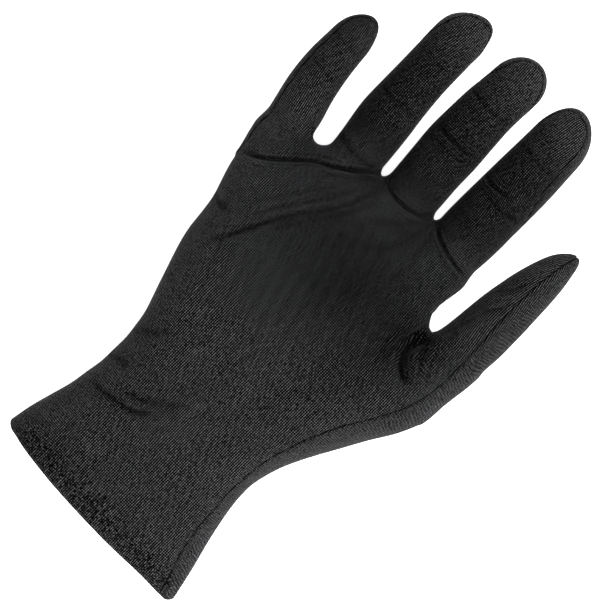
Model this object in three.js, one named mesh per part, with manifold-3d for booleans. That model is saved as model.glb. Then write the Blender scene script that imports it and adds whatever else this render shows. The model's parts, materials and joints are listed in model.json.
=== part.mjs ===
// A right-hand dress glove of stretch jersey, lying on its back: palm up (+Z), fingertips towards +Y,
// thumb towards +X. The origin is on the flat spot under the back of the hand. Millimetres and degrees.
// Two panels, palm and back, are sewn edge to edge. Each is cut at the knuckle creases, where it bends.
import * as THREE from 'three';
import { mergeVertices } from 'three/addons/utils/BufferGeometryUtils.js';
import Module from 'manifold-3d';

const wasm = await Module();
wasm.setup();

// Fabric and clearances
const wall = 0.9; // one layer of jersey
const seamGap = 0.35; // between the two panels, along their seam
const layerGap = 0.3; // between the shell and what is sewn inside it
const jointGap = 0.4; // between two segments of a finger, at rest
const hingeInset = 2.5; // from the surface of the pad in to a hinge axis
const notchSlack = 1; // degrees that a notch opens past the bend it lets through

// Cuff
const hemDepth = 12; // of the turned-in layer
const threadWidth = 1.6; // of an overlocked seam allowance
const threadThickness = 0.8;
const stitchWidth = 2.5; // of the row of hem stitching
const stitchInset = 2; // from the raw edge of the hem to its stitching

// Hand section: edges, middle height and half depth, from the cuff to the knuckles
const handMid = 17.5;
const cuffEdge = { y: -87, left: -45, right: 45, mid: handMid, deep: 17 };
const cuffBell = { y: -62, left: -40.2, right: 39.8, mid: handMid, deep: 17 };
const wrist = { y: -36, left: -36.5, right: 36, mid: handMid, deep: 17.4 };
const heel = { y: -8, left: -41.5, right: 38, mid: handMid, deep: 18.2 };
const palm = { y: 30, left: -50.5, right: 38, mid: handMid, deep: 18.1 };
const knuckleY = 60;
const knuckleMid = 15.5;
const knuckleDeep = 15.6;
const webRight = 84; // y of the web beside the index finger
const webLeft = 70; // y of the web beside the little finger
const webDeep = 10;
const webRound = 1.5; // how far the end of the hand section rounds over
const palmPower = 2.4; // 2 is an ellipse, more is squarer

// Ball of the thumb
const ballRoot = { y: -34, left: 0, right: 36.2, mid: handMid, deep: 14 };
const ball = { y: -4, left: 6, right: 49, mid: handMid, deep: 17.8 };
const ballTop = { y: 18, left: 18, right: 61.5, mid: handMid, deep: 17.2 };
const thumbRoot = { y: 38, left: 33, right: 66.2, mid: handMid, deep: 14 };
const seamRollWrist = 8; // degrees that the thumb-side seam is turned up onto the palm, at the wrist
const seamRollThumb = 45; // the same along the thumb

// Fingers. gap is the space to the next finger at the base, lean is to the left, reach is the y of the
// base hinge, and rise is how far the tip curls up. Lengths and widths run from the base to the tip.
const fingerMid = 13;
const depthShare = 0.84; // depth over width
const stubLength = 16; // of the part of a finger that is one with the hand section
const index = {
  name: 'index', gap: 2.8, reach: 86, lean: 0, rise: 5, lengths: [21, 18.5, 25.5],
  widths: [23.8, 24, 23.3], tipRound: 15,
};
const middle = {
  name: 'middle', gap: 0, reach: 86, lean: 1.2, rise: 4, lengths: [23, 17.5, 26],
  widths: [22.7, 23, 21.8], tipRound: 13,
};
const ring = {
  name: 'ring', gap: 3, reach: 84, lean: 3, rise: 5, lengths: [21, 20.5, 24.5],
  widths: [21.2, 21.2, 20], tipRound: 13,
};
const little = {
  name: 'little', gap: 6, reach: 76, lean: 6, rise: 5, lengths: [17, 13, 15.5],
  widths: [20.4, 18.3, 16.3], tipRound: 12,
};
const thumb = {
  name: 'thumb', reach: 54, lean: -4.5, rise: 0, lengths: [29, 29], widths: [23.2, 20],
  tipRound: 24, bendRoll: -15, seamRoll: seamRollThumb, x: 56, mid: handMid,
};
const middleX = 1.5;
const bends = { base: 72, knuckle: 85, end: 50 };
const thumbBends = { base: 30, knuckle: 45 };

// Mesh fineness
const handRound = 32;
const fingerRound = 16;
const handSteps = [16, 20]; // of the sheet that splits the hand section, across and along
const fingerSteps = [2, 16];
const far = 60; // half size of the blocks that cut the shells
const fingerOverrun = 3; // how far the hand section's stubs run past the base hinges before they are cut
const notchReach = 5; // how far over a base hinge its notch opens
const tipFlat = 0.4; // how far short of a fingertip's pole its last section lies
const tipShares = [0.4, 0.66, 0.84, 0.95, 1]; // where the sections of a rounded tip lie, along it
const stationStep = 7; // between the sections of a finger

const degrees = Math.PI / 180;

// The fingers stand side by side, each its gap away from the next one
index.x = middleX + middle.widths[0] / 2 + index.gap + index.widths[0] / 2;
middle.x = middleX;
ring.x = middleX - middle.widths[0] / 2 - ring.gap - ring.widths[0] / 2;
little.x = ring.x - ring.widths[0] / 2 - little.gap - little.widths[0] / 2;
const fingers = [index, middle, ring, little];
for (const finger of fingers) {
  finger.mid = fingerMid;
  finger.bendRoll = 0;
  finger.seamRoll = 0;
  finger.limits = [bends.base, bends.knuckle, bends.end];
  finger.segments = ['lower', 'middle', 'tip'];
  finger.stub = stubLength;
  finger.sideRoom = 2;
}
thumb.limits = [thumbBends.base, thumbBends.knuckle];
thumb.segments = ['lower', 'tip'];
thumb.stub = stubLength / 2;
thumb.sideRoom = 2;

const handLeft = little.x - little.widths[0] / 2;
const handRight = index.x + index.widths[0] / 2;
const knuckles = {
  y: knuckleY, left: handLeft + 2, right: handRight, mid: knuckleMid, deep: knuckleDeep,
};
const webStation = {
  y: (webLeft + webRight) / 2, left: handLeft, right: handRight, mid: fingerMid, deep: webDeep,
};

// A closed geometry as a manifold solid
function solid(geometry) {
  geometry.deleteAttribute('normal');
  geometry.deleteAttribute('uv');
  const merged = mergeVertices(geometry, 1e-5);
  return new wasm.Manifold(new wasm.Mesh({
    numProp: 3,
    vertProperties: new Float32Array(merged.attributes.position.array),
    triVerts: new Uint32Array(merged.index.array),
  }));
}

// A manifold solid as a geometry
function geometryOf(body) {
  const mesh = body.getMesh();
  const geometry = new THREE.BufferGeometry();
  geometry.setAttribute('position', new THREE.BufferAttribute(mesh.vertProperties, 3));
  geometry.setIndex(new THREE.BufferAttribute(mesh.triVerts, 1));
  geometry.computeVertexNormals();
  return geometry;
}

// The solid through a row of closed sections. Each section is a function of a unit circle's two coordinates.
function loft(sections, round) {
  const steps = sections.length - 1;
  const tube = new THREE.CylinderGeometry(1, 1, steps, round, steps);
  const places = tube.attributes.position;
  for (let i = 0; i < places.count; i += 1) {
    const section = sections[Math.round(places.getY(i) + steps / 2)];
    const point = section(places.getX(i), places.getZ(i));
    places.setXYZ(i, point.x, point.y, point.z);
  }
  return tube;
}

function bulged(part, power) {
  return Math.sign(part) * Math.abs(part) ** (2 / power);
}

// A section of the hand, shrunk by inset on every side. It is flat where it would pass below the table.
function handSection(station, inset, slope) {
  const halfWidth = (station.right - station.left) / 2 - inset;
  const centre = (station.right + station.left) / 2;
  return (u, v) => {
    const x = centre + halfWidth * bulged(u, palmPower);
    const z = station.mid + (station.deep - inset) * bulged(v, palmPower);
    const y = station.y + slope * (x - (handLeft + handRight) / 2);
    return new THREE.Vector3(x, y, Math.max(z, inset));
  };
}

// The named stations and smooth ones between them
function between(stations, steps) {
  const edges = new THREE.CatmullRomCurve3(stations.map((s) => new THREE.Vector3(s.left, s.y, s.right)));
  const depths = new THREE.CatmullRomCurve3(stations.map((s) => new THREE.Vector3(s.mid, s.y, s.deep)));
  return Array.from({ length: steps + 1 }, (_, i) => {
    const edge = edges.getPoint(i / steps);
    const depth = depths.getPoint(i / steps);
    return { y: edge.y, left: edge.x, right: edge.z, mid: depth.x, deep: depth.z };
  });
}

function lengthOf(finger) {
  return finger.lengths.reduce((sum, part) => sum + part, 0);
}

// Half the width of a finger at a distance s from its base hinge
function halfWidthAt(finger, s) {
  const total = lengthOf(finger);
  const knots = [0];
  for (const part of finger.lengths) knots.push(knots[knots.length - 1] + part);
  const widths = [...finger.widths, finger.widths[finger.widths.length - 1]];
  const at = Math.min(Math.max(s, 0), total);
  const k = Math.min(knots.findLastIndex((knot) => knot <= at), finger.lengths.length - 1);
  const share = (at - knots[k]) / finger.lengths[k];
  const width = widths[k] + (widths[k + 1] - widths[k]) * share;
  const past = Math.max(0, at - (total - finger.tipRound)) / finger.tipRound;
  return (width / 2) * Math.sqrt(1 - past ** 2);
}

// The height of a finger's middle line over its base
function riseAt(finger, s) {
  const total = lengthOf(finger);
  return finger.rise * (Math.max(s, 0) / total) ** 2;
}

// A finger in its own frame: base hinge plane at y = 0, middle line along Y
function fingerLoft(finger, inset, from, to) {
  const total = lengthOf(finger);
  const end = Math.min(to, total - inset - tipFlat);
  const straight = Math.min(end, total - finger.tipRound);
  const stops = [from];
  const steps = Math.max(1, Math.round((straight - from) / stationStep));
  for (let i = 1; i <= steps; i += 1) stops.push(from + ((straight - from) * i) / steps);
  if (end > straight) {
    for (const share of tipShares) stops.push(straight + (end - straight) * share);
  }
  const sections = stops.map((s) => (u, v) => {
    const half = halfWidthAt(finger, s) - inset;
    const z = riseAt(finger, s) + half * depthShare * v;
    return new THREE.Vector3(half * u, s, z);
  });
  return solid(loft(sections, fingerRound));
}

// A solid in a finger's own frame, put where the finger is on the hand
function placed(body, finger) {
  const matrix = new THREE.Matrix4().makeTranslation(finger.x, finger.reach, finger.mid);
  matrix.multiply(new THREE.Matrix4().makeRotationZ(finger.lean * degrees));
  return body.transform(matrix.elements);
}

// The hand section as one solid, shrunk by inset on every side and longer by cuffExtra at the cuff
function handBody(inset, cuffExtra = 0) {
  const slope = (webRight - webLeft) / (handRight - handLeft);
  const sleeve = between([cuffEdge, cuffBell, wrist, heel, palm, knuckles], 10);
  sleeve[0].y -= cuffExtra;
  const web = { ...webStation, y: webStation.y - inset };
  const rounded = { ...web, y: web.y + webRound, deep: webDeep - webRound };
  const sections = [
    ...sleeve.map((station) => handSection(station, inset, 0)),
    handSection(web, inset, slope),
    handSection(rounded, inset + webRound, slope),
  ];
  const thumbHalf = thumb.widths[0] / 2;
  const thumbBase = {
    y: thumb.reach - thumb.stub / 2, left: thumb.x - thumbHalf, right: thumb.x + thumbHalf,
    mid: thumb.mid, deep: thumbHalf * depthShare,
  };
  const mound = between([ballRoot, ball, ballTop, thumbRoot, thumbBase], 7);
  mound[0].y += inset;
  mound[mound.length - 1].y -= inset;
  let body = solid(loft(sections, handRound));
  body = body.add(solid(loft(mound.map((station) => handSection(station, inset, 0)), handRound)));
  for (const finger of [...fingers, thumb]) {
    body = body.add(placed(fingerLoft(finger, inset, -finger.stub, fingerOverrun), finger));
  }
  return body;
}

// A block with a flat top, over the sheet z = height(x, y) + lift
function sheetBlock(height, box, steps, lift) {
  const block = new THREE.BoxGeometry(box.right - box.left, box.end - box.start, far, ...steps, 1);
  const places = block.attributes.position;
  for (let i = 0; i < places.count; i += 1) {
    const x = places.getX(i) + (box.left + box.right) / 2;
    const y = places.getY(i) + (box.start + box.end) / 2;
    const onSheet = places.getZ(i) < 0;
    places.setXYZ(i, x, y, onSheet ? height(x, y) + lift : far);
  }
  return solid(block);
}

// The height of the seam between the panels, across the hand section. On the thumb side it turns up.
function handSeam(x, y) {
  const up = THREE.MathUtils.smoothstep(y, wrist.y, thumb.reach);
  const roll = THREE.MathUtils.lerp(seamRollWrist, seamRollThumb, up);
  const axis = THREE.MathUtils.lerp((ball.left + ball.right) / 2, thumb.x, up);
  const down = THREE.MathUtils.smoothstep(y, palm.y, little.reach);
  const side = THREE.MathUtils.lerp(handMid, fingerMid, down * (x < handRight ? 1 : 0));
  return side + Math.tan(roll * degrees) * Math.max(0, x - axis);
}

function fingerSeam(finger) {
  return (x, y) => riseAt(finger, y) + Math.tan(finger.seamRoll * degrees) * Math.max(0, x);
}

// The outline, along a finger and up through it, of what lies past a hinge. Over the hinge the faces of the
// two segments part in a notch, which closes when the finger bends.
function pastHinge(finger, joint, side) {
  const hinge = hingeOf(finger, joint);
  const slope = Math.tan((finger.limits[joint] / 2 + notchSlack) * degrees);
  const face = hinge.s + (side * jointGap) / 2;
  return [
    [face, -far],
    [face, hinge.height],
    [face + side * slope * (far - hinge.height), far],
  ];
}

// Where a hinge axis crosses a finger: along it, and up from its middle line at the base
function hingeOf(finger, joint) {
  const s = finger.lengths.slice(0, joint).reduce((sum, part) => sum + part, 0);
  return { s, height: riseAt(finger, s) + halfWidthAt(finger, s) * depthShare - hingeInset };
}

// A plate with an outline along a finger and up through it, as wide as given, turned to the way it bends
function sidePlate(finger, outline, width) {
  const shape = new THREE.Shape(outline.map(([s, height]) => new THREE.Vector2(s, height)));
  const plate = new THREE.ExtrudeGeometry(shape, { depth: width, bevelEnabled: false });
  plate.translate(0, 0, -width / 2);
  const turn = new THREE.Matrix4().makeBasis(
    new THREE.Vector3(0, 1, 0),
    new THREE.Vector3(0, 0, 1),
    new THREE.Vector3(1, 0, 0),
  );
  plate.applyMatrix4(turn);
  plate.rotateY(finger.bendRoll * degrees);
  return solid(plate);
}

// The space that one segment of a finger may fill
function segmentSpace(finger, joint) {
  const near = pastHinge(finger, joint, 1);
  const last = joint === finger.limits.length - 1;
  const total = lengthOf(finger);
  const next = last ? [[total + far, -far], [total + far, far]] : pastHinge(finger, joint + 1, -1);
  if (last) {
    return sidePlate(finger, [...near, next[1], next[0]], far);
  }
  // the two slanted faces meet where they cross, so the outline ends there
  const slopeNear = (near[2][0] - near[1][0]) / (far - near[1][1]);
  const slopeNext = (next[1][0] - next[2][0]) / (far - next[1][1]);
  const apart = next[1][0] - near[1][0] + slopeNear * near[1][1] + slopeNext * next[1][1];
  const top = apart / (slopeNear + slopeNext);
  const peak = [near[1][0] + slopeNear * (top - near[1][1]), top];
  return sidePlate(finger, [near[0], near[1], peak, next[1], next[0]], far);
}

// What lies past a finger's base hinge, to be cut off the hand section
function pastBase(finger) {
  const hinge = hingeOf(finger, 0);
  const slope = Math.tan((finger.limits[0] / 2 + notchSlack) * degrees);
  const face = hinge.s - jointGap / 2;
  const top = hinge.height + notchReach;
  const outline = [
    [face, -far],
    [face, hinge.height],
    [face - slope * notchReach, top],
    [face - slope * notchReach, far],
    [far, far],
    [far, -far],
  ];
  return placed(sidePlate(finger, outline, finger.widths[0] + finger.sideRoom), finger);
}

const glove = new THREE.Group();

function addPiece(name, body, colour, roughness) {
  const material = new THREE.MeshStandardMaterial({ color: colour, roughness, metalness: 0 });
  const mesh = new THREE.Mesh(geometryOf(body), material);
  mesh.name = name;
  glove.add(mesh);
}

const jersey = 0x262628;
const thread = 0x1b1b1d;

// Hand section: the shell, cut off at the base hinges and split along the seam
const handBox = {
  left: handLeft - far, right: handRight + far, start: cuffEdge.y - far, end: index.reach + far,
};
const palmSpace = sheetBlock(handSeam, handBox, handSteps, seamGap / 2);
const notBackSpace = sheetBlock(handSeam, handBox, handSteps, -seamGap / 2);
let handShell = handBody(0).subtract(handBody(wall, wall));
for (const finger of [...fingers, thumb]) {
  handShell = handShell.subtract(pastBase(finger));
}
addPiece('palm_panel', handShell.intersect(palmSpace), jersey, 0.8);
addPiece('back_panel', handShell.subtract(notBackSpace), jersey, 0.8);

// Hem: the layer that is turned in at the cuff, and the row of stitches that holds it
function band(outset, thickness, start, end) {
  const ringBody = handBody(outset).subtract(handBody(outset + thickness, wall));
  const block = new THREE.BoxGeometry(4 * far, end - start, 4 * far);
  block.translate(0, (start + end) / 2, 0);
  return ringBody.intersect(solid(block));
}

const hemEnd = cuffEdge.y + hemDepth;
const hemInset = wall + layerGap;
const hem = band(hemInset, wall, cuffEdge.y + layerGap, hemEnd);
addPiece('palm_hem', hem.intersect(palmSpace), jersey, 0.8);
addPiece('back_hem', hem.subtract(notBackSpace), jersey, 0.8);
const stitchEnd = hemEnd - stitchInset;
const stitchBand = band(hemInset + wall + layerGap, threadThickness, stitchEnd - stitchWidth, stitchEnd);
addPiece('hem_stitching', stitchBand, thread, 0.7);

// Overlock threads: a bead inside the shell along the seam, from the hem towards the fingers
function seamBead(side, end) {
  const beads = band(hemInset, threadThickness, hemEnd + layerGap, end);
  const above = sheetBlock(handSeam, handBox, handSteps, -threadWidth / 2);
  const tooHigh = sheetBlock(handSeam, handBox, handSteps, threadWidth / 2);
  const half = new THREE.BoxGeometry(2 * far, 6 * far, 6 * far);
  half.translate(side * far, 0, 0);
  return beads.intersect(above).subtract(tooHigh).intersect(solid(half));
}

addPiece('thumb_side_seam_thread', seamBead(1, thumbRoot.y), thread, 0.7);
addPiece('little_side_seam_thread', seamBead(-1, little.reach - little.stub), thread, 0.7);

// Fingers and thumb: each segment is a pad side and a back side, and a hinge at its near end
glove.userData.hinges = [];
for (const finger of [...fingers, thumb]) {
  const shell = fingerLoft(finger, 0, -finger.stub, far * 2);
  const hollow = fingerLoft(finger, wall, -finger.stub - wall, far * 2);
  const tube = shell.subtract(hollow);
  const box = { left: -far, right: far, start: -finger.stub, end: 2 * far };
  const padSpace = sheetBlock(fingerSeam(finger), box, fingerSteps, seamGap / 2);
  const notBack = sheetBlock(fingerSeam(finger), box, fingerSteps, -seamGap / 2);
  finger.segments.forEach((segment, joint) => {
    const piece = tube.intersect(segmentSpace(finger, joint));
    addPiece(`${finger.name}_${segment}_pad`, placed(piece.intersect(padSpace), finger), jersey, 0.8);
    addPiece(`${finger.name}_${segment}_back`, placed(piece.subtract(notBack), finger), jersey, 0.8);
    const hinge = hingeOf(finger, joint);
    const place = new THREE.Vector3(0, 0, hinge.height);
    place.applyAxisAngle(new THREE.Vector3(0, 1, 0), finger.bendRoll * degrees);
    place.y += hinge.s;
    const axis = new THREE.Vector3(1, 0, 0);
    axis.applyAxisAngle(new THREE.Vector3(0, 1, 0), finger.bendRoll * degrees);
    for (const vector of [place, axis]) {
      vector.applyAxisAngle(new THREE.Vector3(0, 0, 1), finger.lean * degrees);
    }
    place.add(new THREE.Vector3(finger.x, finger.reach, finger.mid));
    const name = `${finger.name}_${segment}`;
    glove.userData.hinges.push({ name, place, axis, limit: finger.limits[joint] });
  });
}

export default glove;
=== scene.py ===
"""A right-hand dress glove of black stretch jersey, filled as if worn and lying on its back.

The cloth is worked out as one smooth skin: sections of the hand, the ball of the thumb and the five
fingers melt into each other, folds are pressed into it, and it is cut along the glove's real seams and
across the fingers, halfway between the knuckles, where one moving segment takes over from the next.
All lengths inside the shape code are in millimetres.
"""

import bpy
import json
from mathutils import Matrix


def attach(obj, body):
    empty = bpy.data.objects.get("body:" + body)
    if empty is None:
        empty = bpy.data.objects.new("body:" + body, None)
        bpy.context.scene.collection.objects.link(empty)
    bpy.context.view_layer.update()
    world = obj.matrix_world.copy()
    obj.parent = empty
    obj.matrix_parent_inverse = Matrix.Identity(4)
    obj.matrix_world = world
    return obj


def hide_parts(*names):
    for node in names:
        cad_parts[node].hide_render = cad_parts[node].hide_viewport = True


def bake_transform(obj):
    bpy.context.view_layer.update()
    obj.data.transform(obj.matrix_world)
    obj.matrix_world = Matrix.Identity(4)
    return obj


bl_info = {
    "name": "Jersey dress glove",
    "version": (1, 0, 0),
    "blender": (4, 5, 0),
    "location": "View3D > Sidebar > Glove",
    "description": "Makes a seamed stretch-jersey glove around its packed model",
    "category": "Add Mesh",
}

import json
import math

import bpy
import numpy as np
from bpy.props import FloatProperty, FloatVectorProperty, PointerProperty

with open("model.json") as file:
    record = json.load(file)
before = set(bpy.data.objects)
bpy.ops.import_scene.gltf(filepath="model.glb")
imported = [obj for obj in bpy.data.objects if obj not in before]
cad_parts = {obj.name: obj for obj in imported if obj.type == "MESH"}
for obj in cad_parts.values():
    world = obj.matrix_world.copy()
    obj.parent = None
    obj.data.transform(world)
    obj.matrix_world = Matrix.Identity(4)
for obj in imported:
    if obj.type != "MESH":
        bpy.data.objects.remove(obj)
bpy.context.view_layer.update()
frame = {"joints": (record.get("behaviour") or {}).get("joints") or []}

MM = 0.001
DEGREE = math.pi / 180
JOINTS = {joint["name"]: joint for joint in frame["joints"]}

# Cuff, wrist and palm, without the ball of the thumb: y, left edge, right edge, middle height and half
# depth of each section
HAND_STATIONS = np.array([
    (-100, -48.3, 48.6, 17.5, 17.2),
    (-87, -45.9, 45.8, 17.5, 17.2),
    (-72, -43.1, 42.5, 17.5, 16.9),
    (-58, -39.2, 39.0, 17.5, 16.6),
    (-44, -36.9, 36.4, 17.5, 16.6),
    (-32, -36.4, 36.0, 17.5, 16.9),
    (-20, -37.6, 35.0, 17.5, 17.4),
    (-4, -42.5, 34.0, 17.5, 17.8),
    (14, -48.0, 33.0, 17.4, 18.0),
    (30, -50.4, 35.5, 17.0, 17.4),
    (46, -55.3, 41.2, 16.2, 16.4),
    (53, -56.3, 40.9, 15.7, 15.7),
    (60, -57.3, 38.0, 15.0, 14.8),
    (72, -58.3, 38.2, 13.6, 12.4),
    (86, -60.0, 38.4, 13.0, 10.4),
], float)
HAND_POWER = 2.35
# The ball of the thumb, in the same form
BALL_STATIONS = np.array([
    (-44, 4, 26.0, 17.5, 11.0),
    (-32, 6, 33.6, 17.5, 14.0),
    (-22, 7, 38.9, 17.5, 16.0),
    (-12, 8, 44.5, 17.5, 17.2),
    (-2, 10, 50.2, 17.6, 17.9),
    (8, 13, 55.6, 17.7, 18.0),
    (18, 18, 61.5, 17.8, 17.6),
    (28, 26, 65.3, 17.8, 16.3),
    (38, 36, 64.9, 17.6, 13.8),
    (48, 43.2, 64.8, 17.5, 11.0),
    (58, 45.6, 66.0, 17.5, 9.4),
], float)
BALL_POWER = 2.0
BALL_ENDS = (-42, 51)
# Where the hand ends between the fingers, and where the cuff's folded edge runs: x and y
WEB_LINE = (
    (-70, 66), (-54, 68), (-37, 72.8), (-24, 76.8), (-11.5, 80.6), (2, 82), (14.5, 82.6), (28, 80), (45, 76),
)
WEB_DROP = 0.03  # how much sooner it ends above and below its middle, times the height squared
CUFF_LINE = (
    (-47, -80.2), (-44.5, -82), (-38, -83.2), (-24, -84.6), (10, -86.1), (34, -86.4), (41, -87.1),
    (44, -87.2), (46, -86),
)
# The seam on the thumb side, which lies on the palm side of the glove: y and x
THUMB_SEAM = (
    (-92, 41.5), (-80, 38), (-70, 35), (-60, 33), (-45, 32), (-25, 33), (-12, 36.5), (-3, 40), (7, 45),
    (15.5, 50), (25, 55), (35, 58), (55, 59), (62, 59),
)
DEPTH_SHARE = 0.84  # of a finger's width
STUB = 24.0  # how far a finger reaches into the hand
SEAM_WIDTH = 0.45  # how far from a finger's seam its groove and its painted dark line fall away
CUT = -1.0  # where a finger's own pieces start, along it from its base hinge
BLENDED = 14.0  # up to where a finger's surface melts into the hand's
MELT = dict(webs=6, ball=6, ball_ends=(6, 3), fingers=4.5, thumb=6, rest=1.2)
STEP = 0.8  # between points of the skin

# Each finger, with places along it from its base hinge: how far the hand's cut reaches to its left and
# right, how far its seams' meeting point leans onto the pad side, how far the hinge is above its middle
# line, its length, how much of that rounds off, its rise at the tip, widths, sideways drift of its middle
# line, and how far the seams at its right and left are turned up onto the pad side. Angles are in degrees
FINGERS = {
    "index": dict(
        joints=("base", "knuckle", "end"), segments=("lower", "middle", "tip"), reach=(1.3, 4.0),
        lean=38, drop=7.5, length=65.2, tip_round=15.5, rise=5.0, tip_power=2.0,
        width=((-STUB, 17), (-10, 22), (0, 23.9), (20, 24.2), (34, 23.8), (46, 22.8), (66, 21.4)),
        drift=((-STUB, 0), (40, 0), (52, -0.3), (58, -0.7), (65.2, -1.6)),
        right_seam=((0, 0), (14, 4), (28, 40), (66, 46)), left_seam=((0, 0), (40, 0), (56, 22), (66, 22)),
    ),
    "middle": dict(
        joints=("base", "knuckle", "end"), segments=("lower", "middle", "tip"), reach=(1.3, 1.3),
        lean=38, drop=7.03, length=66.5, tip_round=11.5, rise=4.0, tip_power=2.0,
        width=(
            (-STUB, 19), (0, 22.7), (12, 22.8), (22, 23.4), (32, 22.6), (42, 21.7), (52, 21.0), (67, 20.4),
        ),
        drift=((-STUB, 0), (0, 0), (12, -0.7), (32, -1.0), (42, -0.9), (52, 0), (60, 0.5), (66.5, 0.9)),
        right_seam=((0, 0), (48, 0), (58, 34), (67, 40)), left_seam=((0, 0), (46, 0), (57, 38), (67, 42)),
    ),
    "ring": dict(
        joints=("base", "knuckle", "end"), segments=("lower", "middle", "tip"), reach=(1.3, 1.3),
        lean=38, drop=6.4, length=66.3, tip_round=13.0, rise=5.0, tip_power=2.0,
        width=((-STUB, 18), (0, 21.2), (14, 21.9), (24, 20.8), (34, 19.9), (54, 19.9), (67, 19.6)),
        drift=((-STUB, 0), (0, -0.2), (14, -1.2), (34, -1.6), (44, -1.3), (54, -0.8), (60, 0.0), (66.3, 2.6)),
        right_seam=((0, 0), (50, 0), (60, 18), (67, 20)), left_seam=((0, 0), (44, 4), (55, 40), (67, 46)),
    ),
    "little": dict(
        joints=("base", "knuckle", "end"), segments=("lower", "middle", "tip"), reach=(9.0, 1.3),
        lean=34, drop=6.07, length=45.3, tip_round=12.5, rise=5.0, tip_power=2.0,
        width=(
            (-STUB, 13), (-12, 17.2), (-4, 19.4), (2, 20.0), (12, 19.2), (22, 18.0), (32, 16.5), (46, 15.4),
        ),
        drift=((-STUB, 0), (0, -0.9), (12, -2.5), (22, -2.8), (32, -2.0), (40, -1.2), (45.3, 0.0)),
        right_seam=((0, 0), (46, 4)), left_seam=((-2, 35), (12, 40), (34, 44), (46, 40)),
    ),
    "thumb": dict(
        joints=("base", "knuckle"), segments=("lower", "tip"), reach=(1.3, 9.0),
        lean=0, drop=7.24, length=57.9, tip_round=25.0, rise=0.0, tip_power=1.7,
        width=(
            (-STUB, 14), (-14, 20), (-6, 22.8), (0, 22.7), (5, 22.2), (9, 22.1), (19, 21.2), (24, 20.5),
            (34, 18.4), (58, 16.4),
        ),
        drift=((-STUB, 0.2), (0, 0.3), (9, 0.4), (20, 0), (44, 0), (52, 0.5), (57.9, 1.8)),
        right_seam=((-2, 75), (21, 88), (41, 93), (58, 90)), left_seam=((-2, 0), (12, -35), (58, -60)),
    ),
}

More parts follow.
